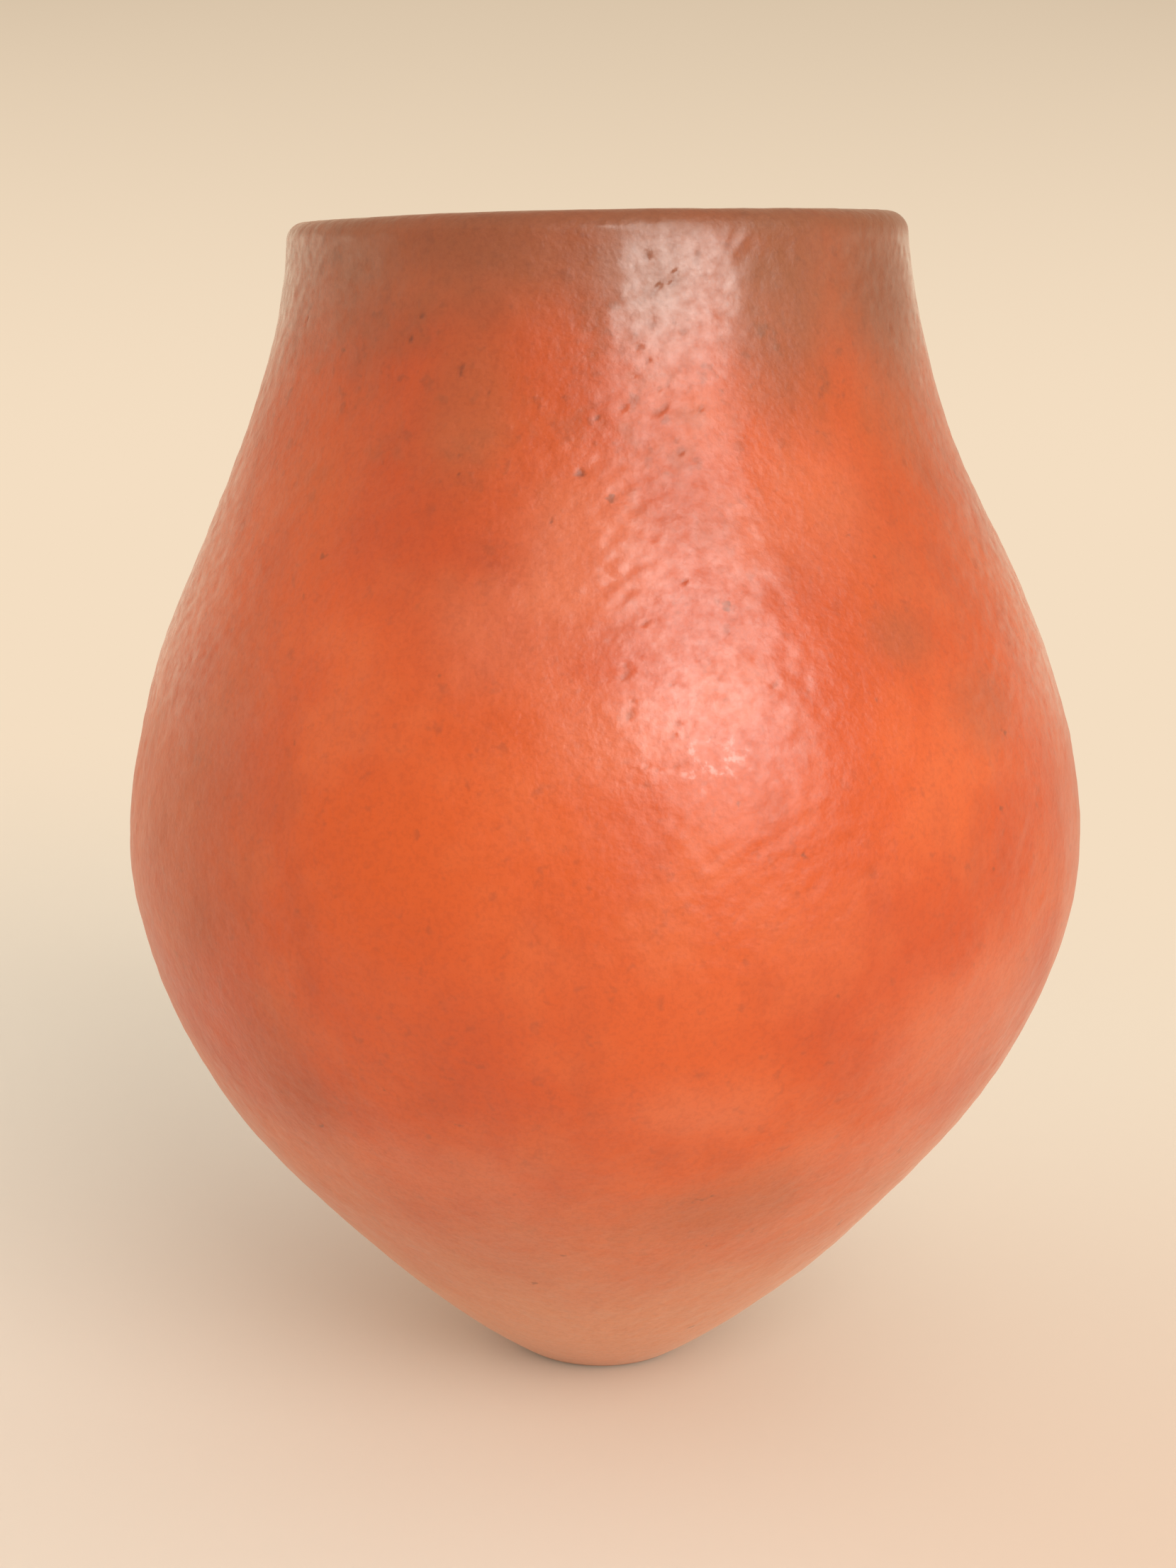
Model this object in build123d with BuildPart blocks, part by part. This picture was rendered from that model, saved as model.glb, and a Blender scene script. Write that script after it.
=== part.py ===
"""A coil-built olla: one pot wall made of a moulded base cup and seven coils of clay, joined on bevelled seats.

The origin is at the middle of the foot, on the floor, with +Z up. The neck leans a little towards -X.
Every section is drawn as (distance from the axis, height) and turned about the pot's axis.
"""
import os
from math import atan2, cos, degrees, radians, sin, tan

from build123d import *

# Form of the pot, in millimetres
belly_radius = 82.5
belly_height = 95.5
pot_height = 201.0
mouth_radius = 52.0
foot_radius = 13.5
foot_round = 5.0

# Thickness of the clay, in millimetres
wall = 6.5
lip_thickness = 7.2
floor_thickness = 8.0

# Slopes, in degrees: the flank where it leaves the foot, the neck's inward taper at the lip,
# the neck's lean about the middle of the belly, and each joint's bevel through the wall
foot_slope = 34.0
neck_taper = 4.0
neck_lean = 1.2
seat_bevel = 35.0

# Fullness of the two curves, as shares of the height that each one climbs
flank_start_share = 0.13
flank_fullness_share = 0.49
shoulder_fullness_share = 0.37
neck_straight_share = 0.37

# Joints between the coils, as shares of the length of the flank and of the shoulder
flank_seat_shares = [0.40, 0.67, 0.93]
shoulder_seat_shares = [0.17, 0.42, 0.67, 0.91]


def along(angle):
    """Unit direction in the section, at an angle in degrees from the outward horizontal."""
    return Vector(cos(radians(angle)), sin(radians(angle)))


# Corners that steer the outer flank, from the end of the foot's rounding to the belly
flank_rise = belly_height - foot_round
nose_centre = Vector(foot_radius, foot_round)
flank_foot = nose_centre + along(foot_slope - 90) * foot_round
flank_low = flank_foot + along(foot_slope) * flank_start_share * flank_rise
flank_full = Vector(belly_radius, belly_height - flank_fullness_share * flank_rise)
belly = Vector(belly_radius, belly_height)

# Corners that steer the outer shoulder and neck, from the belly to the start of the round lip
lip_radius = lip_thickness / 2
lip_centre = Vector(mouth_radius - lip_radius, pot_height - lip_radius)
neck_rise = lip_centre.Y - belly_height
neck_top = lip_centre + along(neck_taper) * lip_radius
neck_low = neck_top - along(neck_taper + 90) * neck_straight_share * neck_rise
shoulder_full = Vector(belly_radius, belly_height + shoulder_fullness_share * neck_rise)

# The inside follows the same corners, a wall's thickness in. Its lower curve starts level, on the floor.
flank_angle = degrees(atan2(flank_full.Y - flank_low.Y, flank_full.X - flank_low.X))
inner_line = flank_low + along(flank_angle + 90) * wall
inner_flank_low = inner_line - along(flank_angle) * (
    (inner_line.Y - floor_thickness) / sin(radians(flank_angle))
)
inner_flank_full = inner_line + along(flank_angle) * (
    (belly_radius - wall - inner_line.X) / cos(radians(flank_angle))
)
shoulder_angle = degrees(atan2(neck_low.Y - shoulder_full.Y, neck_low.X - shoulder_full.X))
shoulder_bend = radians(shoulder_angle - 90)
neck_bend = radians(shoulder_angle - 90 - neck_taper)
inner_belly = Vector(belly_radius - wall, belly_height)
inner_shoulder_full = Vector(belly_radius - wall, shoulder_full.Y - wall * tan(shoulder_bend / 2))
inner_neck_top = lip_centre - along(neck_taper) * lip_radius
inner_neck_low = (
    neck_low - along(neck_taper) * lip_thickness
    - along(neck_taper + 90) * lip_thickness * tan(neck_bend / 2)
)

# Section through the whole wall
with BuildSketch() as wall_section:
    with BuildLine() as outline:
        Line((0, 0), (foot_radius, 0))
        CenterArc(nose_centre, foot_round, start_angle=-90, arc_size=foot_slope)
        flank = Bezier(flank_foot, flank_low, flank_full, belly)
        shoulder = Bezier(belly, shoulder_full, neck_low, neck_top)
        CenterArc(lip_centre, lip_radius, start_angle=neck_taper, arc_size=180)
        Bezier(inner_neck_top, inner_neck_low, inner_shoulder_full, inner_belly)
        Bezier(inner_belly, inner_flank_full, inner_flank_low, Vector(0, floor_thickness))
        Line((0, floor_thickness), (0, 0))
    make_face()

# Axis and section plane of the leaning neck, both through the middle of the belly
lean_up = Vector(-sin(radians(neck_lean)), 0, cos(radians(neck_lean)))
belly_middle = Vector(0, 0, belly_height)
neck_axis = Axis(belly_middle, lean_up)
neck_plane = Plane(
    origin=belly_middle - lean_up * belly_height,
    x_dir=(cos(radians(neck_lean)), 0, sin(radians(neck_lean))),
    z_dir=(0, -1, 0),
)

# How far a cutting line runs past the outer face and past the inner face
cut_outside = wall
cut_inside = 2 * wall + floor_thickness


def seat_line(curve, share):
    """Ends of a joint's line, outer end first. It falls inwards, so the coil above laps down the inside."""
    up_wall = curve % share
    outwards = Vector(up_wall.Y, -up_wall.X)
    bevel = radians(seat_bevel)
    climb = outwards * cos(bevel) + up_wall * sin(bevel)
    face = curve @ share
    return face + climb * cut_outside, face - climb * cut_inside


def band(low_seat, high_seat):
    """Corners of the band of wall between two joint lines."""
    return [low_seat[0], high_seat[0], high_seat[1], low_seat[1]]


cup_seat, lower_seat, belly_seat = [seat_line(flank, share) for share in flank_seat_shares]
shoulder_seat, upper_seat, neck_seat, rim_seat = [
    seat_line(shoulder, share) for share in shoulder_seat_shares
]

# Base cup: a disc of clay pressed into a shallow mould, with the flat foot that the pot rests on
with BuildPart() as base_cup:
    with BuildSketch(Plane.XZ):
        add(wall_section.sketch)
        Polygon(
            cup_seat[0], cup_seat[1], Vector(0, cup_seat[1].Y), Vector(0, -wall),
            Vector(cup_seat[0].X, -wall), align=None, mode=Mode.INTERSECT,
        )
    revolve(axis=Axis.Z)

# Lower wall: the first coil, laid on the cup
with BuildPart() as lower_wall_coil:
    with BuildSketch(Plane.XZ):
        add(wall_section.sketch)
        Polygon(*band(cup_seat, lower_seat), align=None, mode=Mode.INTERSECT)
    revolve(axis=Axis.Z)

# Lower belly: the coil that turns the flank upright
with BuildPart() as lower_belly_coil:
    with BuildSketch(Plane.XZ):
        add(wall_section.sketch)
        Polygon(*band(lower_seat, belly_seat), align=None, mode=Mode.INTERSECT)
    revolve(axis=Axis.Z)

# Belly: the widest ring, across the meeting of the two curves
with BuildPart() as belly_coil:
    with BuildSketch(Plane.XZ):
        add(wall_section.sketch)
        Polygon(*band(belly_seat, shoulder_seat), align=None, mode=Mode.INTERSECT)
    revolve(axis=Axis.Z)

# Shoulder: the first leaning coil. It starts low enough to reach the level seat all round,
# and that seat's cone cuts it to fit.
lean_drop = 2 * belly_radius * sin(radians(neck_lean))
low_share = shoulder_seat_shares[0] - lean_drop / shoulder.length
with BuildPart() as shoulder_coil:
    with BuildSketch(neck_plane):
        add(wall_section.sketch)
        Polygon(*band(seat_line(shoulder, low_share), upper_seat), align=None, mode=Mode.INTERSECT)
    revolve(axis=neck_axis)
    with BuildSketch(Plane.XZ):
        below = Vector(0, 2 * lean_drop + wall)
        Polygon(
            shoulder_seat[0], shoulder_seat[1], shoulder_seat[1] - below, shoulder_seat[0] - below,
            align=None,
        )
    revolve(axis=Axis.Z, mode=Mode.SUBTRACT)

# Upper shoulder: draws the wall in towards the neck
with BuildPart() as upper_shoulder_coil:
    with BuildSketch(neck_plane):
        add(wall_section.sketch)
        Polygon(*band(upper_seat, neck_seat), align=None, mode=Mode.INTERSECT)
    revolve(axis=neck_axis)

# Neck: the wall turns upright again
with BuildPart() as neck_coil:
    with BuildSketch(neck_plane):
        add(wall_section.sketch)
        Polygon(*band(neck_seat, rim_seat), align=None, mode=Mode.INTERSECT)
    revolve(axis=neck_axis)

# Rim: the last coil, wiped round into a full lip
with BuildPart() as rim_coil:
    with BuildSketch(neck_plane):
        add(wall_section.sketch)
        above = Vector(0, pot_height + wall)
        Polygon(
            rim_seat[0], Vector(rim_seat[0].X, above.Y), Vector(rim_seat[1].X, above.Y), rim_seat[1],
            align=None, mode=Mode.INTERSECT,
        )
    revolve(axis=neck_axis)

os.makedirs("parts", exist_ok=True)

base_cup.part.label = "base_cup"
export_step(base_cup.part, "parts/base_cup.step")
lower_wall_coil.part.label = "lower_wall_coil"
export_step(lower_wall_coil.part, "parts/lower_wall_coil.step")
lower_belly_coil.part.label = "lower_belly_coil"
export_step(lower_belly_coil.part, "parts/lower_belly_coil.step")
belly_coil.part.label = "belly_coil"
export_step(belly_coil.part, "parts/belly_coil.step")
shoulder_coil.part.label = "shoulder_coil"
export_step(shoulder_coil.part, "parts/shoulder_coil.step")
upper_shoulder_coil.part.label = "upper_shoulder_coil"
export_step(upper_shoulder_coil.part, "parts/upper_shoulder_coil.step")
neck_coil.part.label = "neck_coil"
export_step(neck_coil.part, "parts/neck_coil.step")
rim_coil.part.label = "rim_coil"
export_step(rim_coil.part, "parts/rim_coil.step")
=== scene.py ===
from math import atan2, ceil, cos, degrees, pi, radians, sin, sqrt, tan

import bpy
import numpy as np
from mathutils import Matrix, Vector


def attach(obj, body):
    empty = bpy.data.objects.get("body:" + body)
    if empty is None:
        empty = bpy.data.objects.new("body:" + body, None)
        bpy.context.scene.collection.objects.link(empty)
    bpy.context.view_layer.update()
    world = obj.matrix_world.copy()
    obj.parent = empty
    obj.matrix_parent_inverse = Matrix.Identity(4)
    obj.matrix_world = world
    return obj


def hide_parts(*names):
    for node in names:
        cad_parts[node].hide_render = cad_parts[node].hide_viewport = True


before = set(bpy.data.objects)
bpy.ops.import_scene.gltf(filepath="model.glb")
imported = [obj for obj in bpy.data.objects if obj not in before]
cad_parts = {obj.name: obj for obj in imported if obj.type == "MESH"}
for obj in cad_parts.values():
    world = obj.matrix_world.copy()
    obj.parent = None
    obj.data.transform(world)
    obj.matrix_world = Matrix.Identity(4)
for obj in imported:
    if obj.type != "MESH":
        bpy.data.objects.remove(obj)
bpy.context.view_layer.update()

# The pot's sizes in millimetres and its slopes in degrees, as in the solid model
MM = 0.001
belly_radius, belly_height, pot_height = 82.5, 95.5, 201.0
mouth_radius, foot_radius, foot_round = 52.0, 13.5, 5.0
wall, lip_thickness, floor_thickness = 6.5, 7.2, 8.0
foot_slope, neck_taper, neck_lean, seat_bevel = 34.0, 4.0, 1.2, 35.0
flank_start_share, flank_fullness_share = 0.13, 0.49
shoulder_fullness_share, neck_straight_share = 0.37, 0.37
flank_seat_shares = [0.40, 0.67, 0.93]
shoulder_seat_shares = [0.17, 0.42, 0.67, 0.91]

# The eight rings, from the foot up: the piece's name and the solid it stands for
RINGS = [
    ("burnished_base_cup", "base_cup"),
    ("burnished_lower_wall", "lower_wall_coil"),
    ("burnished_lower_belly", "lower_belly_coil"),
    ("burnished_belly", "belly_coil"),
    ("burnished_shoulder", "shoulder_coil"),
    ("burnished_upper_shoulder", "upper_shoulder_coil"),
    ("burnished_neck", "neck_coil"),
    ("burnished_rim", "rim_coil"),
]

COLUMNS = 960
CURVE_POINTS = 3000

# Row spacing in millimetres: foot disc, foot's rounding, the four outer bands below the shoulder,
# the four above it, the lip, and the inside
FOOT_PITCH, NOSE_PITCH = 1.1, 0.5
OUTER_PITCHES = [0.96, 0.60, 0.48, 0.44, 0.42, 0.42, 0.42, 0.40]
LIP_PITCH, INNER_PITCH = 0.40, 1.7


def along(angle):
    """Unit direction in the section, at an angle in degrees from the outward horizontal."""
    return np.array([cos(radians(angle)), sin(radians(angle))])


def ease(value, low, high):
    """Smooth step from 0 at low to 1 at high: 3t^2 - 2t^3 of the clipped share t."""
    share = np.clip((value - low) / (high - low), 0, 1)
    return share * share * (3 - 2 * share)


def cubic(first, second, third, last):
    """Points of a cubic curve: its corners weighted by (1-t)^3, 3t(1-t)^2, 3t^2(1-t) and t^3."""
    t = np.linspace(0, 1, CURVE_POINTS)[:, None]
    return (
        (1 - t) ** 3 * np.asarray(first) + 3 * t * (1 - t) ** 2 * np.asarray(second)
        + 3 * t ** 2 * (1 - t) * np.asarray(third) + t ** 3 * np.asarray(last)
    )


def arc(centre, radius, first, last):
    """Points of a round arc about centre, from one angle in degrees to another."""
    turn = np.radians(np.linspace(first, last, CURVE_POINTS))[:, None]
    return np.asarray(centre) + radius * np.hstack([np.cos(turn), np.sin(turn)])


def straight(first, last):
    """Points of a straight run."""
    t = np.linspace(0, 1, CURVE_POINTS)[:, None]
    return (1 - t) * np.asarray(first) + t * np.asarray(last)


def lengths(points):
    """Distance along a run of points, from its start."""
    steps = np.hypot(*np.diff(points, axis=0).T)
    return np.concatenate([[0], np.cumsum(steps)])


def wall_curves():
    """The section's curves in order: foot, nose, flank, shoulder, lip, inner shoulder, inner flank."""
    flank_rise = belly_height - foot_round
    nose_centre = np.array([foot_radius, foot_round])
    flank_foot = nose_centre + along(foot_slope - 90) * foot_round
    flank_low = flank_foot + along(foot_slope) * flank_start_share * flank_rise
    flank_full = np.array([belly_radius, belly_height - flank_fullness_share * flank_rise])
    belly = np.array([belly_radius, belly_height])

    lip_radius = lip_thickness / 2
    lip_centre = np.array([mouth_radius - lip_radius, pot_height - lip_radius])
    neck_rise = lip_centre[1] - belly_height
    neck_top = lip_centre + along(neck_taper) * lip_radius
    neck_low = neck_top - along(neck_taper + 90) * neck_straight_share * neck_rise
    shoulder_full = np.array([belly_radius, belly_height + shoulder_fullness_share * neck_rise])

    rise, run = (flank_full - flank_low)[::-1]
    flank_angle = degrees(atan2(rise, run))
    inner_line = flank_low + along(flank_angle + 90) * wall
    inner_flank_low = inner_line - along(flank_angle) * (
        (inner_line[1] - floor_thickness) / sin(radians(flank_angle))
    )
    inner_flank_full = inner_line + along(flank_angle) * (
        (belly_radius - wall - inner_line[0]) / cos(radians(flank_angle))
    )
    rise, run = (neck_low - shoulder_full)[::-1]
    shoulder_angle = degrees(atan2(rise, run))
    inner_belly = np.array([belly_radius - wall, belly_height])
    inner_shoulder_full = np.array([
        belly_radius - wall,
        shoulder_full[1] - wall * tan(radians(shoulder_angle - 90) / 2),
    ])
    inner_neck_top = lip_centre - along(neck_taper) * lip_radius
    inner_neck_low = (
        neck_low - along(neck_taper) * lip_thickness
        - along(neck_taper + 90) * lip_thickness
        * tan(radians(shoulder_angle - 90 - neck_taper) / 2)
    )
    return [
        straight((0, 0), (foot_radius, 0)),
        arc(nose_centre, foot_round, -90, foot_slope - 90),
        cubic(flank_foot, flank_low, flank_full, belly),
        cubic(belly, shoulder_full, neck_low, neck_top),
        arc(lip_centre, lip_radius, neck_taper, neck_taper + 180),
        cubic(inner_neck_top, inner_neck_low, inner_shoulder_full, inner_belly),
        cubic(inner_belly, inner_flank_full, inner_flank_low, (0, floor_thickness)),
    ]


curves = wall_curves()
foot_run, nose_run, flank_run, shoulder_run, lip_run = [
    lengths(curve)[-1] for curve in curves[:5]
]
outline = np.vstack([curves[0]] + [curve[1:] for curve in curves[1:]])
outline_run = lengths(outline)
flank_start = foot_run + nose_run
shoulder_start = flank_start + flank_run
lip_start = shoulder_start + shoulder_run
lip_end = lip_start + lip_run
outline_end = outline_run[-1]


def on_outline(run):
    """The section's points at distances along it from the middle of the foot."""
    return np.stack([np.interp(run, outline_run, side) for side in outline.T], -1)


def inner_end(run):
    """Where a joint that starts at a distance on the outer face comes out on the inner face:
    the inner outline's crossing of the straight line that falls inwards at the joint's bevel."""
    step = 0.05
    up_wall = on_outline(run + step) - on_outline(run - step)
    up_wall /= np.hypot(*up_wall)
    outwards = np.array([up_wall[1], -up_wall[0]])
    bevel = radians(seat_bevel)
    climb = outwards * cos(bevel) + up_wall * sin(bevel)
    away = outline - on_outline(run)
    off = away[:, 0] * climb[1] - away[:, 1] * climb[0]
    inside = outline_run[:-1] > lip_end
    near = -(away @ climb)[:-1] < 3 * wall
    crossing = np.flatnonzero(inside & near & (off[:-1] * off[1:] <= 0))[0]
    share = off[crossing] / (off[crossing] - off[crossing + 1])
    return outline_run[crossing] + share * (outline_run[crossing + 1] - outline_run[crossing])


outer_seats = [flank_start + share * flank_run for share in flank_seat_shares]
outer_seats += [shoulder_start + share * shoulder_run for share in shoulder_seat_shares]
inner_seats = [inner_end(run) for run in outer_seats]


def wall_rows():
    """Distances of the rows along the outline, and the row number of each outer and inner joint."""
    stations = [(0, FOOT_PITCH), (foot_run, NOSE_PITCH), (flank_start, OUTER_PITCHES[0])]
    stations += list(zip(outer_seats, OUTER_PITCHES[1:]))
    stations += [(lip_start, LIP_PITCH), (lip_end, INNER_PITCH)]
    stations += [(run, INNER_PITCH) for run in reversed(inner_seats)]
    starts = [run for run, _ in stations] + [outline_end]
    runs, marks = [], {}
    for (start, pitch), end in zip(stations, starts[1:]):
        marks[start] = len(runs)
        count = ceil((end - start) / pitch)
        runs += list(start + (end - start) * np.arange(count) / count)
    runs.append(outline_end)
    return np.array(runs), [marks[run] for run in outer_seats], [marks[run] for run in inner_seats]


row_run, outer_rows, inner_rows = wall_rows()
row_place = on_outline(row_run)
row_radius, row_height = row_place.T
slope_step = 0.02
row_slope = on_outline(np.minimum(row_run + slope_step, outline_end)) - on_outline(
    np.maximum(row_run - slope_step, 0)
)
row_slope /= np.hypot(*row_slope.T)[:, None]
row_out = np.stack([row_slope[:, 1], -row_slope[:, 0]], -1)

# The grid: rows run from the foot's middle up the outside, over the lip and down the inside.
# Azimuth is 0 at the front, -Y, and grows towards +X.
azimuth = np.arange(COLUMNS) * 2 * pi / COLUMNS
run_grid = row_run[:, None]
radius_grid = row_radius[:, None]
height_grid = row_height[:, None]
round_about = np.stack([np.sin(azimuth), -np.cos(azimuth)], -1)
true_place = np.concatenate(
    [
        radius_grid[..., None] * round_about[None],
        np.broadcast_to(height_grid[..., None], (len(row_run), COLUMNS, 1)),
    ],
    -1,
)


def unevenness(longest, shortest, waves, seed):
    """Gentle unevenness with no direction: the sum of plane waves in space, sin(k.p + phase),
    with random directions and lengths between the two given, scaled to a spread of about 1."""
    draw = np.random.default_rng(seed)
    total = np.zeros(true_place.shape[:2])
    for _ in range(waves):
        way = draw.normal(size=3)
        wave = way / np.sqrt(way @ way) * 2 * pi / draw.uniform(shortest, longest)
        total += np.sin(true_place @ wave + draw.uniform(0, 2 * pi))
    return total / sqrt(waves / 2)


def strokes(long, wide, slant, waves, seed):
    """Marks of the burnishing stone: the sum of waves sin(m a + k s + phase) in azimuth a and
    distance s along the wall, m whole, drawn so that the marks are long along the slant, in
    degrees up to the right, and narrow across it. The spread is about 1."""
    draw = np.random.default_rng(seed)
    total = np.zeros((len(row_run), COLUMNS))
    lean_cos, lean_sin = cos(radians(slant)), sin(radians(slant))
    middle_radius = 66.0
    for _ in range(waves):
        way = draw.uniform(0, 2 * pi)
        size = draw.uniform(0.6, 1.3)
        with_stroke = size * cos(way) * 2 * pi / long
        across = size * sin(way) * 2 * pi / wide
        sideways = with_stroke * lean_cos - across * lean_sin
        upwards = with_stroke * lean_sin + across * lean_cos
        whole = round(sideways * middle_radius)
        total += np.sin(whole * azimuth + upwards * run_grid + draw.uniform(0, 2 * pi))
    return total / sqrt(waves / 2)


# Pits that the burnishing stone tore or left open, the larger ones of the front, listed one by one:
# azimuth, height, length, width, slant up to the right, depth
FRONT_PITS = [
    (12.5, 190, 3.6, 2.0, 38, 0.40), (9.2, 188.6, 2.2, 1.6, 50, 0.26), (8.5, 194, 2.2, 1.8, 60, 0.26),
    (14, 183, 2.6, 1.4, 50, 0.34), (9, 184, 1.5, 1.2, 40, 0.20), (8, 179, 2.2, 1.5, 55, 0.26),
    (11, 176, 3.0, 1.2, 70, 0.20), (9.5, 175, 1.6, 1.2, 40, 0.22), (4, 172.5, 1.5, 1.1, 30, 0.20),
    (9.5, 172, 3.4, 1.3, 36, 0.26), (15.5, 172, 2.6, 1.1, 62, 0.32), (12, 166, 2.6, 1.3, 40, 0.26),
    (14, 165, 1.5, 1.1, 20, 0.20), (17, 194, 3.4, 1.2, 78, 0.18), (13, 195.5, 1.6, 1.1, 50, 0.18),
    (10.5, 148, 2.4, 1.2, 10, 0.30), (14.5, 145, 2.0, 1.1, -55, 0.24), (15, 141.5, 2.4, 1.6, 20, 0.20),
    (5.5, 142.5, 1.6, 0.9, 30, 0.18), (3, 135.5, 2.4, 1.3, 38, 0.18), (13, 136, 1.6, 1.0, 20, 0.24),
    (8, 134, 1.5, 1.1, 10, 0.30), (14, 131.5, 1.6, 1.1, 30, 0.26), (20, 133, 2.0, 1.3, 60, 0.22),
    (3.5, 130, 2.2, 1.4, 48, 0.18), (11, 132.5, 1.6, 0.9, 30, 0.22), (8.5, 128.5, 1.2, 1.0, 40, 0.26),
    (8, 127, 1.4, 1.1, 80, 0.28), (9.5, 127, 1.4, 1.1, 70, 0.26), (12, 126.5, 1.6, 1.0, 40, 0.28),
    (5, 123, 1.6, 1.2, 40, 0.26), (8, 123, 1.7, 1.1, 30, 0.26), (-6, 156.5, 1.4, 0.9, 70, 0.24),
    (-2, 163, 1.8, 1.0, 20, 0.26), (-21, 177.5, 1.8, 1.0, 75, 0.34), (-19.5, 163, 1.3, 1.0, 40, 0.24),
    (-58, 185.5, 1.6, 1.1, 60, 0.30), (-16.2, 174.6, 1.1, 0.9, 60, 0.20), (-29, 185.7, 1.2, 0.7, 50, 0.18),
    (-2.4, 163.2, 1.7, 0.9, 20, 0.24), (0.2, 171, 1.3, 0.9, 35, 0.20), (-19.7, 165.8, 1.2, 0.8, 70, 0.18),
    (-30.5, 182.4, 1.5, 0.8, 65, 0.18),
]


def pit_places():
    """The front's own pits, then small ones spread at random over the outside, as many to each
    piece of the surface, and fewer where the front's own pits are. The stone kept the pits of the
    polished strip on the right clean, and those on the left hold more dirt."""
    up_rise = (row_run > flank_start) & (row_run < lip_start)
    half_long, half_wide = 0.45, 0.42
    clean, dirty = 0.34, 0.80
    pits = []
    for turn, height, long, wide, slant, depth in FRONT_PITS:
        run = np.interp(height, row_height[up_rise], row_run[up_rise])
        dark = clean if turn > 1 else dirty
        pits.append((radians(turn), run, half_long * long, half_wide * wide, radians(slant), depth, dark))
    draw = np.random.default_rng(23)
    places = np.linspace(flank_start + 4, lip_start + 1, 2000)
    shares = np.cumsum(on_outline(places)[:, 0])
    count, small = 820, 0.6
    runs = np.interp(draw.uniform(0, shares[-1], count), shares, places)
    turns = draw.uniform(-pi, pi, count)
    halves = 0.40 + 0.42 * draw.gamma(1.6, 0.5, count)
    slims = halves * draw.uniform(0.45, 0.8, count)
    slants = np.radians(draw.normal(42, 24, count))
    depths = 0.04 + 0.10 * draw.beta(2, 3, count)
    held = 0.36 * draw.beta(1.2, 4, count)
    for turn, run, half, slim, slant, depth, dark in zip(
        turns, runs, halves, slims, slants, depths, held
    ):
        height = np.interp(run, row_run, row_height)
        in_front = -0.03 < turn < 0.52 and 118 < height < 198
        if in_front and half > small:
            continue
        pits.append((turn, run, half, slim, slant, depth, dark))
    return pits


def pitting():
    """Depth of every pit on the grid, and how much dirt it holds. Each pit lowers 1 - ease(q) of
    its depth, q the distance from its middle in its own half length and half width."""
    rag = 0.24 * unevenness(4.2, 1.8, 26, 5) + 0.16 * unevenness(1.9, 1.1, 30, 6)
    filled_depth = 0.44
    depth_grid = np.zeros((len(row_run), COLUMNS))
    dirt_grid = np.zeros((len(row_run), COLUMNS))
    for turn, run, half, slim, slant, depth, dark in pit_places():
        radius = np.interp(run, row_run, row_radius)
        reach = 2.4 * half
        first, last = np.searchsorted(row_run, [run - reach, run + reach])
        middle = turn / (2 * pi) * COLUMNS
        spread = ceil(reach / radius / (2 * pi) * COLUMNS)
        columns = np.arange(round(middle) - spread, round(middle) + spread + 1)
        sideways = radius * (columns - middle)[None, :] * 2 * pi / COLUMNS
        upwards = row_run[first:last, None] - run
        with_pit = (sideways * cos(slant) + upwards * sin(slant)) / half
        across = (upwards * cos(slant) - sideways * sin(slant)) / slim
        window = np.ix_(np.arange(first, last), columns % COLUMNS)
        away = np.hypot(with_pit, across) * (1 + rag[window])
        depth_grid[window] -= filled_depth * depth * (1 - ease(away, 0.05, 1.35))
        dirt_grid[window] = np.maximum(dirt_grid[window], dark * (1 - ease(away, 0.2, 1.05)))
    return depth_grid, dirt_grid


# Broad places where the hand-built wall stands out or falls in: azimuth, height, half width round
# the pot, half height, amount
HAND_SWELLS = [
    (78, 163, 46, 15, -0.95), (78, 40, 44, 19, -0.85), (80, 73, 44, 12, -0.50), (-78, 26, 44, 17, -0.50),
    (-78, 112, 40, 15, -0.45), (-78, 80, 40, 12, -0.40), (-78, 50, 36, 14, 0.30),
    (-70, 198, 44, 22, -0.50), (-40, 200, 30, 9, -0.20), (0, 201, 60, 8, -0.16), (30, 128, 34, 16, 0.20),
    (150, 150, 44, 30, 0.55), (-150, 60, 46, 26, -0.60), (180, 96, 52, 24, 0.50),
    (-140, 170, 40, 18, -0.40), (118, 60, 40, 24, 0.45),
]


def hand_swells():
    """Sum of the broad places, each its amount times exp(-x^2 - y^2), x and y the distances from
    its middle round the pot and along the wall in its own half sizes."""
    up_rise = (row_run > flank_start) & (row_run <= lip_start + 1)
    total = np.zeros((len(row_run), COLUMNS))
    for turn, height, wide, tall, amount in HAND_SWELLS:
        run = np.interp(height, row_height[up_rise], row_run[up_rise])
        radius = np.interp(run, row_run, row_radius)
        off = (azimuth - radians(turn) + pi) % (2 * pi) - pi
        total += amount * np.exp(-((off * radius / wide) ** 2) - ((run_grid - run) / tall) ** 2)
    return total


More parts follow.
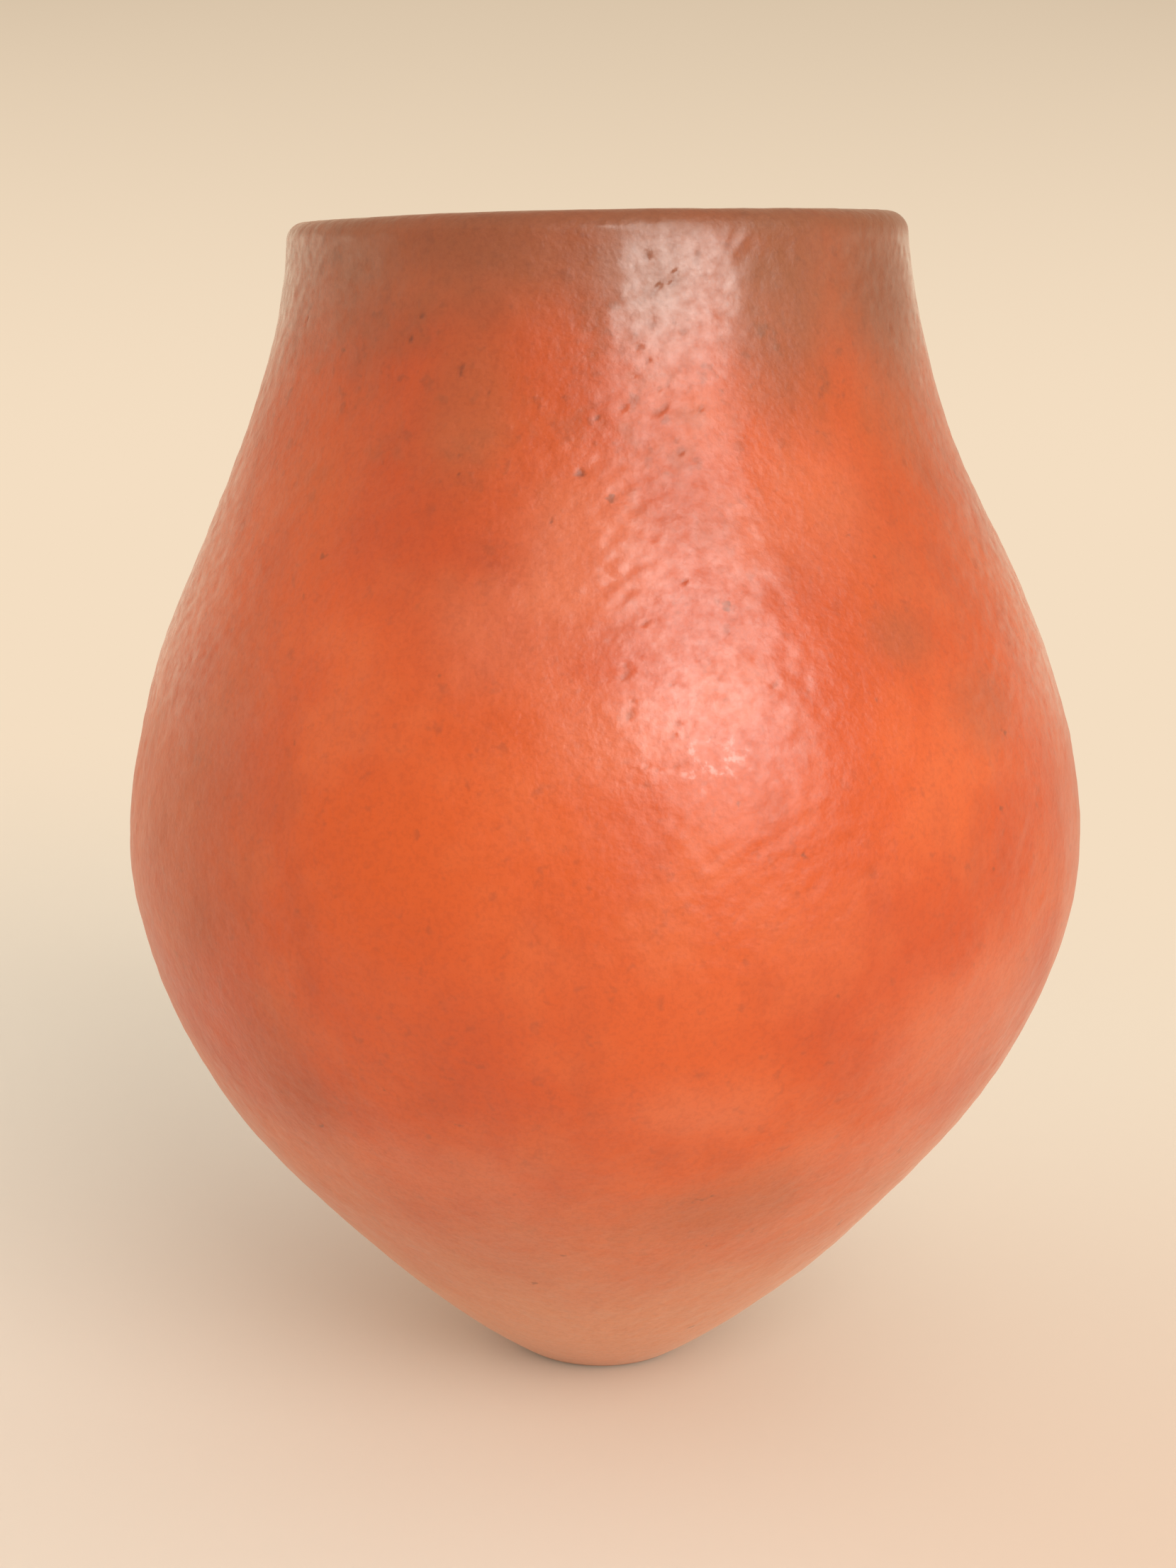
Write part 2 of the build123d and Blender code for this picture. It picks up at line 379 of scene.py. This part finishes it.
def hand_marks():
    """How far the hand-made surface stands off the true one, in millimetres along its normal."""
    outside = 1 - ease(run_grid, lip_start, lip_end)
    above_foot = ease(run_grid, foot_run + 1, foot_run + 34)
    off_pole = ease(radius_grid, 4, 26)
    swell = hand_swells() + 0.07 * unevenness(150, 75, 20, 11) + 0.07 * unevenness(60, 34, 24, 12)
    paddled = 0.050 * unevenness(30, 14, 40, 13) + 0.020 * unevenness(12, 6, 60, 18)
    rubbed = 0.35 + 0.65 * ease(unevenness(70, 34, 20, 19), -0.8, 1.4)
    burnished = 0.012 * strokes(9, 5.5, 48, 60, 14) + 0.012 * rubbed * strokes(8, 2.8, 42, 90, 15)
    burnished += 0.024 * rubbed * unevenness(5.5, 2.4, 90, 22)
    pits, dirt = pitting()
    outer = (paddled + burnished * off_pole + pits) * above_foot * outside
    coil_width, coil_ridge = 12.5, 0.24
    coil_run = run_grid + 1.6 * np.sin(azimuth + 0.7) + 1.1 * np.sin(2 * azimuth)
    coil_rise = coil_ridge * np.sin(2 * pi * coil_run / coil_width)
    wiped = 0.10 * strokes(70, 9, 3, 40, 16) + 0.14 * unevenness(46, 20, 30, 17)
    deep = ease(run_grid, lip_end + 4, lip_end + 22)
    inner = (coil_rise + wiped) * off_pole * deep
    stands_off = swell * above_foot * ease(radius_grid, 2, 14) + outer + inner * (1 - outside)
    return stands_off[..., None], dirt * above_foot * outside


def leaned(place):
    """Turns the wall above the belly by the neck's lean about the belly's middle, easing in from
    the belly to the shoulder's joint."""
    seat_height = on_outline(outer_seats[3])[1]
    angle = radians(neck_lean) * ease(place[..., 2], belly_height, seat_height)
    rise = place[..., 2] - belly_height
    return np.stack(
        [
            place[..., 0] * np.cos(angle) - rise * np.sin(angle),
            place[..., 1],
            belly_height + place[..., 0] * np.sin(angle) + rise * np.cos(angle),
        ],
        -1,
    )


marks, dirt = hand_marks()
out_grid = np.concatenate(
    [
        row_out[:, None, :1] * round_about[None],
        np.broadcast_to(row_out[:, None, 1:], (len(row_run), COLUMNS, 1)),
    ],
    -1,
)
foot_hollow = 0.22
hollow_foot = foot_hollow * (1 - ease(radius_grid, 3, 12)) * (run_grid < foot_run)
skin = true_place + marks * out_grid
skin[..., 2] = np.maximum(skin[..., 2] + hollow_foot, 0)
skin = leaned(skin)
skin_out = np.cross(
    np.roll(skin, -1, axis=1) - np.roll(skin, 1, axis=1), np.gradient(skin, axis=0)
)
skin_out[0], skin_out[-1] = (0, 0, -1), (0, 0, 1)
skin_out /= np.sqrt((skin_out ** 2).sum(-1, keepdims=True))


def bands(rows):
    """Loops of the square faces between neighbouring rows of a list, as (row, column) numbers:
    this corner, the next column, that and the next row, the next row."""
    low, high = np.meshgrid(np.arange(len(rows) - 1), np.arange(COLUMNS), indexing="ij")
    row = np.stack([low, low, low + 1, low + 1], -1).reshape(-1)
    column = np.stack([high, high + 1, high + 1, high], -1).reshape(-1)
    return row, column


def map_strips(runs, column_loops, row_loops, count, low, high):
    """Places on the piece's flat map: a sheet is cut into as many strips round the pot as count
    says, laid one above the other between low and high, each as wide as the map."""
    gap = 0.004
    share = (runs - runs[0]) / (runs[-1] - runs[0])
    across = COLUMNS // count
    face_columns = np.repeat(column_loops.reshape(-1, 4).min(1), 4)
    strip = face_columns // across
    u = (column_loops - strip * across) / across
    tall = (high - low) / count
    v = low + strip * tall + gap / 2 + share[row_loops] * (tall - gap)
    return np.stack([gap / 2 + u * (1 - gap), v], -1)


def build_ring(name, node, sheets, clay):
    """One closed ring of the wall. Each sheet is a run of grid rows; straight strips close the
    ring from the end of one sheet to the start of the next. A row at the axis is one corner."""
    rows = np.concatenate(sheets)
    at_axis = row_radius[rows] < 1e-9
    corner = np.zeros((len(rows), COLUMNS + 1), int)
    widths = np.where(at_axis, 1, COLUMNS)
    starts = np.concatenate([[0], np.cumsum(widths)[:-1]])
    corner[:] = starts[:, None]
    corner[~at_axis] += np.append(np.arange(COLUMNS), 0)
    places = np.concatenate([skin[row, :width] for row, width in zip(rows, widths)])
    past_lip = np.repeat((row_run[rows] - (lip_start + lip_end) / 2) * MM, widths)
    pit_dirt = np.concatenate([dirt[row, :width] for row, width in zip(rows, widths)])

    strip_count = 2 if at_axis.any() else 4
    loop_corners, loop_outs, loop_maps = [], [], []
    first = 0
    runs_of = [row_run[sheet] for sheet in sheets]
    spans = [run[-1] - run[0] for run in runs_of]
    inside_share, seat_share = 0.45, 0.03
    shares = [
        span * (1.0 if run[0] < lip_start else inside_share) for span, run in zip(spans, runs_of)
    ]
    low = 0.0
    for sheet, runs, share in zip(sheets, runs_of, shares):
        high = low + (1 - seat_share) * share / sum(shares)
        row, column = bands(sheet)
        loop_corners.append(corner[first + row, column])
        loop_outs.append(skin_out[sheet[row], column % COLUMNS])
        loop_maps.append(map_strips(runs, column, row, strip_count, low, high))
        first += len(sheet)
        low = high
    seats = []
    edges = np.cumsum([0] + [len(sheet) for sheet in sheets])
    for number in range(len(sheets)):
        from_row, to_row = edges[number + 1] - 1, edges[(number + 1) % len(sheets)]
        if at_axis[from_row] and at_axis[to_row]:
            continue
        seats.append((from_row, to_row))
    for number, (from_row, to_row) in enumerate(seats):
        pair = np.array([from_row, to_row])
        row, column = bands(pair)
        loop_corners.append(corner[pair[row], column])
        edge_low, edge_high = skin[rows[from_row]], skin[rows[to_row]]
        round_edge = np.roll(edge_low, -1, axis=0) - np.roll(edge_low, 1, axis=0)
        flat = np.cross(round_edge, edge_high - edge_low)
        flat /= np.sqrt((flat ** 2).sum(-1, keepdims=True))
        loop_outs.append(flat[column % COLUMNS])
        high = low + seat_share / len(seats)
        loop_maps.append(map_strips(np.array([0.0, 1.0]), column, row, 1, low, high))
        low = high

    loops = np.concatenate(loop_corners).reshape(-1, 4)
    outs = np.concatenate(loop_outs).reshape(-1, 4, 3)
    maps = np.concatenate(loop_maps).reshape(-1, 4, 2)
    # A face at the axis has two corners in one place, so it becomes a triangle
    keep = np.ones(loops.shape, bool)
    keep[:, 1] = loops[:, 0] != loops[:, 1]
    keep[:, 3] = loops[:, 2] != loops[:, 3]
    totals = keep.sum(1)

    mesh = bpy.data.meshes.new(name)
    mesh.vertices.add(len(places))
    mesh.vertices.foreach_set("co", (places * MM).astype(np.float32).ravel())
    mesh.loops.add(int(totals.sum()))
    mesh.loops.foreach_set("vertex_index", loops[keep].astype(np.int32))
    mesh.polygons.add(len(loops))
    mesh.polygons.foreach_set(
        "loop_start", np.concatenate([[0], np.cumsum(totals)[:-1]]).astype(np.int32)
    )
    mesh.polygons.foreach_set("use_smooth", np.ones(len(loops), bool))
    mesh.uv_layers.new(name="OFBake").uv.foreach_set("vector", maps[keep].astype(np.float32).ravel())
    for label, values in (("past_lip", past_lip), ("pit_dirt", pit_dirt)):
        held = mesh.attributes.new(label, "FLOAT", "POINT")
        held.data.foreach_set("value", values.astype(np.float32))
    mesh.update(calc_edges=True)
    mesh.validate()
    mesh.normals_split_custom_set(outs[keep].astype(np.float32))
    mesh.materials.append(clay)
    piece = bpy.data.objects.new(name, mesh)
    bpy.context.scene.collection.objects.link(piece)
    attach(piece, "root")
    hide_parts(node)
    return piece


def build_pot(clay):
    """Slices the wall's grid into the eight rings at their joints."""
    last_row = len(row_run) - 1
    lows = [0] + outer_rows
    inner_lows = [last_row] + inner_rows
    for number, (name, node) in enumerate(RINGS):
        if number == len(RINGS) - 1:
            sheets = [np.arange(lows[number], inner_lows[number] + 1)]
        else:
            sheets = [
                np.arange(lows[number], lows[number + 1] + 1),
                np.arange(inner_lows[number + 1], inner_lows[number] + 1),
            ]
        build_ring(name, node, sheets, clay)


def tone(red, green, blue):
    """A colour named by its screen values from 0 to 255, as the shaders' linear numbers."""
    shares = np.array([red, green, blue]) / 255
    linear = np.where(shares <= 0.04045, shares / 12.92, ((shares + 0.055) / 1.055) ** 2.4)
    return (*linear.tolist(), 1.0)


class Wire:
    """One shader socket. Sums and products written with it add Math nodes."""

    def __init__(self, finish, socket):
        self.finish = finish
        self.socket = socket

    def worked(self, operation, first, second):
        return self.finish.node("Math", {"operation": operation}, {0: first, 1: second})

    def __add__(self, other):
        return self.worked("ADD", self, other)

    def __radd__(self, other):
        return self.worked("ADD", other, self)

    def __sub__(self, other):
        return self.worked("SUBTRACT", self, other)

    def __rsub__(self, other):
        return self.worked("SUBTRACT", other, self)

    def __mul__(self, other):
        return self.worked("MULTIPLY", self, other)

    def __rmul__(self, other):
        return self.worked("MULTIPLY", other, self)

    def __pow__(self, other):
        return self.worked("POWER", self, other)


class Finish:
    """One material, or the world's air, being put together from nodes."""

    def __init__(self, owner):
        owner.use_nodes = True
        self.owner = owner
        self.tree = owner.node_tree
        self.tree.nodes.clear()

    def node(self, kind, settings=None, sockets=None, output=0):
        """Adds any node: its settings are set first, then the values or links of its sockets."""
        made = self.tree.nodes.new("ShaderNode" + kind)
        for name, value in (settings or {}).items():
            setattr(made, name, value)
        for key, value in (sockets or {}).items():
            if isinstance(value, Wire):
                self.tree.links.new(value.socket, made.inputs[key])
            else:
                made.inputs[key].default_value = value
        return Wire(self, made.outputs[output]) if made.outputs else None

    def noise(self, place, size, detail=2.0, roughness=0.5, stretch=None):
        """Cloudy pattern from 0 to 1 whose lumps are about size metres, stretched where asked."""
        if stretch:
            place = self.node("VectorMath", {"operation": "MULTIPLY"}, {0: place, 1: stretch})
        return self.node(
            "TexNoise", {},
            {"Vector": place, "Scale": 1 / size, "Detail": detail, "Roughness": roughness},
        )

    def ease(self, value, low, high):
        """Smooth step of a wire from 0 at low to 1 at high."""
        return self.node(
            "MapRange", {"interpolation_type": "SMOOTHSTEP"},
            {"Value": value, "From Min": low, "From Max": high},
        )

    def blend(self, share, first, second):
        """Mix of two colours: first where share is 0, second where it is 1."""
        return self.node("Mix", {"data_type": "RGBA"}, {0: share, 6: first, 7: second}, output=2)

    def tint(self, share, colour, by):
        """Colour multiplied by another, as far as share says."""
        return self.node(
            "Mix", {"data_type": "RGBA", "blend_type": "MULTIPLY"}, {0: share, 6: colour, 7: by},
            output=2,
        )

    def patch(self, place, ragged, turn, height, wide, tall, feather=0.75):
        """1 inside a cloud round a point of the outer wall, fading to 0 at its ragged edge.
        Turn is the azimuth in degrees, the sizes are half sizes in millimetres."""
        up_the_wall = (row_run > foot_run) & (row_run < lip_start)
        radius = np.interp(height, row_height[up_the_wall], row_radius[up_the_wall])
        middle = (
            radius * sin(radians(turn)) * MM, -radius * cos(radians(turn)) * MM, height * MM,
        )
        away = self.node("VectorMath", {"operation": "SUBTRACT"}, {0: place, 1: middle})
        scaled = self.node(
            "VectorMath", {"operation": "MULTIPLY"},
            {0: away, 1: (1 / (wide * MM), 1 / (wide * MM), 1 / (tall * MM))},
        )
        far = self.node("VectorMath", {"operation": "LENGTH"}, {0: scaled}, output=1)
        return 1 - self.ease(far + (ragged - 0.5) * 1.4, 1 - feather, 1 + feather * 0.4)

    def finished(self, surface, end="OutputMaterial"):
        self.node(end, {}, {"Surface": surface})
        return self.owner


# Clouds of colour on the slip, most left by the open fire; the first four salmon ones lie round the
# front's highlight and are its painted haze. For each colour: azimuth, height, half width round the pot,
# half height, strength
FIRE_CLOUDS_AND_PAINTED_HAZE = [
    (tone(212, 118, 84), [
        # Painted highlight haze: these three and (31, 157) on the next line sit round the front's
        # highlight
        (-3, 153, 14, 15, 0.42), (-12, 140, 14, 11, 0.34), (-1, 127, 11, 9, 0.34),
        (31, 157, 12, 14, 0.22), (46, 77, 22, 18, 0.52), (11, 70, 15, 8, 0.30), (-22, 56, 22, 9, 0.28),
        (38, 58, 16, 9, 0.34), (-96, 92, 20, 14, 0.34), (140, 120, 22, 16, 0.34),
        (-170, 70, 22, 12, 0.30),
    ]),
    (tone(156, 84, 48), [
        (-24, 192, 20, 8, 0.34), (-21, 170, 8, 16, 0.44), (17, 50, 17, 10, 0.38),
        (-52, 110, 24, 30, 0.38), (57, 182, 15, 24, 0.46), (-40, 70, 12, 18, 0.30),
        (118, 150, 24, 20, 0.42), (176, 88, 34, 22, 0.40), (-128, 130, 22, 28, 0.42),
        (-150, 48, 24, 14, 0.36),
    ]),
    (tone(122, 84, 58), [
        (-49, 194, 13, 11, 0.20), (6, 191, 10, 12, 0.36), (29, 187, 11, 17, 0.46), (38, 139, 8, 6, 0.28),
        (50, 127, 9, 7, 0.20), (152, 182, 18, 14, 0.45), (-160, 168, 14, 18, 0.40),
    ]),
    (tone(98, 56, 34), [(58, 189, 14, 15, 0.42), (-22, 196, 13, 6, 0.16), (-104, 186, 13, 12, 0.26)]),
]


def burnished_clay():
    """Orange slip, burnished outside and over the lip, on plain wiped clay inside. The colour
    drifts between orange, red and salmon, with brown and grey clouds from the open fire. Painted light
    is in it too: a salmon haze round the front's highlight, floor bounce on the lower wall, shade on the
    lip's top."""
    clay = Finish(bpy.data.materials.new("burnished_clay"))
    place = clay.node("TexCoord", {}, {}, output="Object")
    height = clay.node("SeparateXYZ", {}, {0: place}, output=2)
    past_lip = clay.node("Attribute", {"attribute_name": "past_lip"}, {}, output="Fac")
    pit_dirt = clay.node("Attribute", {"attribute_name": "pit_dirt"}, {}, output="Fac")

    # Patterns through the clay, from the broadest to the finest
    drift = clay.noise(place, 0.055)
    ragged = clay.noise(place, 0.022, 4.0, 0.6)
    mottle = clay.noise(place, 0.017, 3.0, 0.55)
    streak = clay.noise(place, 0.010, 3.0, 0.6, stretch=(1.0, 1.0, 0.42))
    ground = clay.noise(place, 0.006, 4.0, 0.6)
    burnt = clay.noise(place, 0.0046, 3.0, 0.55)
    wiping = clay.noise(place, 0.0035, 3.0, 0.6, stretch=(0.22, 0.22, 1.0))
    speckle = clay.noise(place, 0.0032, 2.0, 0.6)
    pores = clay.noise(place, 0.0026)
    blotch = clay.noise(place, 0.0019, 3.0, 0.6)
    grain = clay.noise(place, 0.0011, 2.0, 0.6)
    fleck = clay.noise(place, 0.0008, 2.0, 0.7)

    def above(low, high, wander, edge=ragged):
        """0 below the height low and 1 above high, on a line that wanders up and down."""
        return clay.ease(height + (edge - 0.5) * wander, low, high)

    # The slip's own drifts of colour
    deep_orange, bright_orange, salmon = tone(191, 70, 13), tone(204, 82, 19), tone(214, 106, 54)
    slip = clay.blend(clay.ease(drift, 0.36, 0.64), deep_orange, bright_orange)
    slip = clay.blend(clay.ease(mottle, 0.42, 0.72) * 0.34, slip, salmon)
    slip = clay.blend(clay.ease(streak, 0.50, 0.74) * 0.30, slip, tone(168, 70, 34))
    slip = clay.blend(clay.ease(speckle, 0.60, 0.78) * 0.30, slip, tone(150, 70, 40))

    # Smoke and brown mottling on the shoulder and neck; a pale dusty band on the lower wall and foot that
    # is also painted bounce light from the floor; a darker brown lip top that is painted shade
    upper = above(0.136, 0.184, 0.04)
    lip_top = above(0.1966, 0.1998, 0.0024, mottle)
    for share, colour in [
        (above(0.124, 0.188, 0.05) * 0.46, tone(158, 66, 28)),
        (above(0.172, 0.199, 0.040) * 0.62, tone(124, 74, 44)),
        (upper * clay.ease(ground, 0.52, 0.70) * 0.34, tone(142, 72, 36)),
        (upper * clay.ease(pores, 0.60, 0.74) * 0.40, tone(122, 58, 32)),
        # Painted bounce light from the floor, with dust: the lower wall and the foot made paler
        ((1 - above(0.010, 0.078, 0.040)) * 0.82, tone(204, 130, 92)),
        ((1 - above(0.004, 0.040, 0.020)) * 0.6, tone(232, 158, 118)),
        # Painted shade: the lip's top darkened brown
        (lip_top * (0.05 + ragged * 0.8), tone(126, 80, 54)),
    ]:
        slip = clay.blend(share, slip, colour)
    for colour, clouds in FIRE_CLOUDS_AND_PAINTED_HAZE:
        for turn, high, wide, tall, strength in clouds:
            slip = clay.blend(clay.patch(place, ragged, turn, high, wide, tall) * strength, slip, colour)
    slip = clay.tint(clay.ease(fleck, 0.42, 0.66) * 0.16, slip, tone(190, 160, 140))
    slip = clay.blend(clay.ease(burnt, 0.70, 0.78) * 0.6, slip, tone(110, 58, 34))
    slip = clay.blend(pit_dirt * 0.75, slip, tone(92, 48, 32))

    # Bare clay shows inside, below the slip's uneven edge, and where the foot has rubbed
    bare = clay.blend(clay.ease(ground, 0.40, 0.62), tone(190, 122, 84), tone(206, 142, 100))
    bare = clay.blend(clay.ease(drift, 0.44, 0.66) * 0.5, bare, tone(164, 112, 84))
    bare = clay.blend(clay.ease(speckle, 0.58, 0.72) * 0.5, bare, tone(222, 178, 140))
    edge = past_lip + (ragged - 0.5) * 0.030 + (streak - 0.5) * 0.012
    worn = 1 - above(0.0002, 0.0014, 0.0016, mottle)
    slipped = (1 - clay.ease(edge, 0.026, 0.030)) * (1 - worn * 0.8)
    colour = clay.blend(slipped, bare, slip)

    # The burnish: a broad half gloss, and a polish that is strongest on the belly's upper half and
    # the neck, duller between them and in a few places where the stone missed
    bare_roughness = 0.82
    sheen = 0.48 + (mottle - 0.5) * 0.16 + (streak - 0.5) * 0.12 + (0.5 - blotch) * 0.16
    roughness = slipped * (sheen - bare_roughness) + bare_roughness
    low_polish = above(0.111, 0.131, 0.016)
    shoulder_dull = above(0.148, 0.164, 0.020)
    high_polish = above(0.168, 0.192, 0.020)
    polish = 0.10 + low_polish * 0.52 - shoulder_dull * 0.28 + high_polish * 0.70
    polish = polish * (blotch * 2.6 - 0.30)
    for turn, high, wide, tall, lost in [
        (28, 122, 11, 15, 0.7), (26, 170, 9, 28, 0.7), (27, 196, 8, 7, 0.8), (58, 190, 14, 14, 0.5),
    ]:
        polish = polish * (1 - clay.patch(place, ragged, turn, high, wide, tall) * lost)
    polish = polish + clay.patch(place, ragged, 10.5, 131, 9, 9) * (blotch * 1.2 - 0.2) * 0.6
    polish = polish + clay.patch(place, ragged, 11.5, 123, 6, 4) * clay.ease(blotch, 0.56, 0.66) * 0.8
    coat = slipped * (1 - lip_top * 0.9) * (1 - pit_dirt * 0.9) * (polish + (0.5 - streak) * 0.3)

    relief = (pores * 0.6 + grain * 0.25) * slipped * (0.6 + low_polish * 0.4)
    relief = relief + (wiping * 1.1 + grain * 0.6) * (1 - slipped)
    bump = clay.node("Bump", {}, {"Strength": 1.0, "Distance": 0.00042, "Height": relief})
    surface = clay.node(
        "BsdfPrincipled", {},
        {
            "Base Color": colour, "Roughness": roughness, "Normal": bump,
            "IOR": 1.5, "Specular IOR Level": 0.64,
            "Coat Weight": coat, "Coat Roughness": 0.17, "Coat IOR": 1.5,
            "Sheen Weight": 0.33, "Sheen Roughness": 0.40, "Sheen Tint": tone(255, 224, 200),
        },
    )
    return clay.finished(surface)


def studio_cream():
    """Cream paper with painted shade: darker up the wall, towards the front and at the sides high up.
    The camera and shiny clay see the far part at its written colour, and near the pot it is matt paper
    that keeps the shadow, save on the right of the foot, where painted light covers it. It is clear from
    behind."""
    paper = Finish(bpy.data.materials.new("studio_cream"))
    place = paper.node("TexCoord", {}, {}, output="Object")
    sideways = paper.node("SeparateXYZ", {}, {0: place}, output=0)
    along_y = paper.node("SeparateXYZ", {}, {0: place}, output=1)
    height = paper.node("SeparateXYZ", {}, {0: place}, output=2)
    out = (sideways * sideways + along_y * along_y) ** 0.5
    # Painted shade: the paper darkens up the wall, towards the front and at the sides high up
    shade = paper.blend(paper.ease(height, 0.05, 0.75), tone(244, 222, 194), tone(184, 164, 138))
    front_painted_shade = (1 - paper.ease(along_y, -0.12, 0.20)) * (1 - paper.ease(out, 0.10, 0.70))
    shade = paper.blend(front_painted_shade * 0.5, shade, tone(236, 186, 154))
    side_painted_shade = paper.ease(sideways * sideways, 0.02, 0.20) * paper.ease(height, 0.30, 0.75)
    shade = paper.blend(side_painted_shade * 0.6, shade, tone(150, 134, 112))
    matt_colour = paper.blend(front_painted_shade * 0.5, tone(229, 222, 211), tone(222, 209, 194))
    matt = paper.node("BsdfDiffuse", {}, {"Color": matt_colour})
    bright = paper.node("Emission", {}, {"Color": shade, "Strength": 1.0})
    seen = paper.node("LightPath", {}, {}, output="Is Camera Ray")
    shiny = paper.node("LightPath", {}, {}, output="Is Glossy Ray")
    direct = paper.node("Math", {"operation": "MAXIMUM"}, {0: seen, 1: shiny})
    # Painted light: right of the foot the paper keeps its written colour over the shadow
    written_colour_share = paper.ease(out + sideways * 0.5, 0.04, 0.50)
    written_colour_share = written_colour_share + (1 - written_colour_share) * paper.ease(sideways, -0.01, 0.09) * 0.6
    surface = paper.node("MixShader", {}, {0: direct * (0.08 + 0.92 * written_colour_share), 1: matt, 2: bright})
    behind = paper.node("NewGeometry", {}, {}, output="Backfacing")
    no_mirror = shiny * paper.ease(along_y * -1.0, 0.10, 0.45)
    open_side = paper.node("Math", {"operation": "MAXIMUM"}, {0: behind, 1: no_mirror})
    clear = paper.node("BsdfTransparent", {}, {})
    return paper.finished(paper.node("MixShader", {}, {0: open_side, 1: surface, 2: clear}))


def build_backdrop(paper):
    """Floor and wall in one sheet turned about the pot: a flat ring, a quarter round and a
    straight wall, open at the top and under the middle of the foot, with its faces towards the pot."""
    floor_reach, bend, wall_top, sides = 0.9, 0.5, 1.6, 96
    drop, under_foot = 0.00005, 0.0132
    floor_steps, bend_steps = 30, 25
    turn = np.linspace(0, pi / 2, bend_steps)
    reach = np.concatenate(
        [np.linspace(under_foot, floor_reach, floor_steps), floor_reach + bend * np.sin(turn[1:])]
    )
    rise = np.concatenate([np.zeros(floor_steps), bend * (1 - np.cos(turn[1:]))]) - drop
    reach, rise = np.append(reach, reach[-1]), np.append(rise, wall_top)
    around = np.arange(sides) * 2 * pi / sides
    places = np.stack(
        [
            np.outer(reach, np.cos(around)), np.outer(reach, np.sin(around)),
            np.repeat(rise[:, None], sides, 1),
        ],
        -1,
    ).reshape(-1, 3)
    low, high = np.meshgrid(np.arange(len(reach) - 1), np.arange(sides), indexing="ij")
    ahead = (high + 1) % sides
    faces = np.stack(
        [low * sides + high, (low + 1) * sides + high, (low + 1) * sides + ahead, low * sides + ahead],
        -1,
    ).reshape(-1, 4)
    mesh = bpy.data.meshes.new("studio_sweep")
    mesh.from_pydata(places.tolist(), [], faces.tolist())
    mesh.polygons.foreach_set("use_smooth", np.ones(len(mesh.polygons), bool))
    mesh.materials.append(paper)
    sweep = bpy.data.objects.new("studio_sweep", mesh)
    bpy.context.scene.collection.objects.link(sweep)


def light_studio():
    """A soft cream world, dimmer where the clay mirrors it, with a wide window light at the front
    right, a little above the pot, and a weak fill from the left that leaves no highlight."""
    air = Finish(bpy.data.worlds.new("studio_air"))
    mirrored_by = air.node("LightPath", {}, {}, output="Is Glossy Ray")
    room = air.blend(mirrored_by, tone(255, 252, 247), tone(126, 120, 112))
    glow = air.node("Background", {}, {"Color": room, "Strength": 0.86})
    bpy.context.scene.world = air.finished(glow, "OutputWorld")
    aim = Vector((0, 0, 0.13))
    # Name, azimuth, height angle and tilt in degrees, distance, width and height in metres, watts,
    # and whether the clay mirrors it
    lamps = [
        ("window_light", 29, 26.5, 15, 1.05, 0.70, 0.80, 9.0, True),
        ("left_fill", -98, 22, 0, 1.10, 0.90, 0.90, 3.0, False),
    ]
    for name, turn, climb, tilt, distance, wide, tall, power, mirrored in lamps:
        turn, climb = radians(turn), radians(climb)
        way = Vector((sin(turn) * cos(climb), -cos(turn) * cos(climb), sin(climb)))
        lamp = bpy.data.lights.new(name, "AREA")
        lamp.shape = "RECTANGLE"
        lamp.size, lamp.size_y = wide, tall
        lamp.energy = power
        lamp.color = tone(255, 250, 242)[:3]
        held = bpy.data.objects.new(name, lamp)
        held.location = aim + way * distance
        held.rotation_euler = (
            way.to_track_quat("Z", "Y").to_matrix() @ Matrix.Rotation(radians(tilt), 3, "Z")
        ).to_euler()
        held.visible_camera = False
        held.visible_glossy = mirrored
        bpy.context.scene.collection.objects.link(held)


def place_camera():
    """The camera of the photograph: close in front, a little under the rim's height, looking down."""
    frame_high, focal_pixels, film_side = 2212, 3324.4, 36.0
    eye = (0, -0.4058, 0.1919)
    pitch, yaw, roll = radians(12.27), radians(0.396), radians(0.37)
    lens = bpy.data.cameras.new("photo_camera")
    lens.sensor_width = film_side
    lens.lens = focal_pixels / frame_high * film_side
    lens.clip_start = 0.01
    camera = bpy.data.objects.new("photo_camera", lens)
    camera.matrix_world = (
        Matrix.Translation(eye) @ Matrix.Rotation(yaw, 4, "Z")
        @ Matrix.Rotation(pi / 2 - pitch, 4, "X") @ Matrix.Rotation(roll, 4, "Z")
    )
    bpy.context.scene.collection.objects.link(camera)
    bpy.context.scene.camera = camera


place_camera()
light_studio()
build_backdrop(studio_cream())
build_pot(burnished_clay())
bpy.context.scene.view_settings.view_transform = "Standard"

bpy.context.view_layer.update()
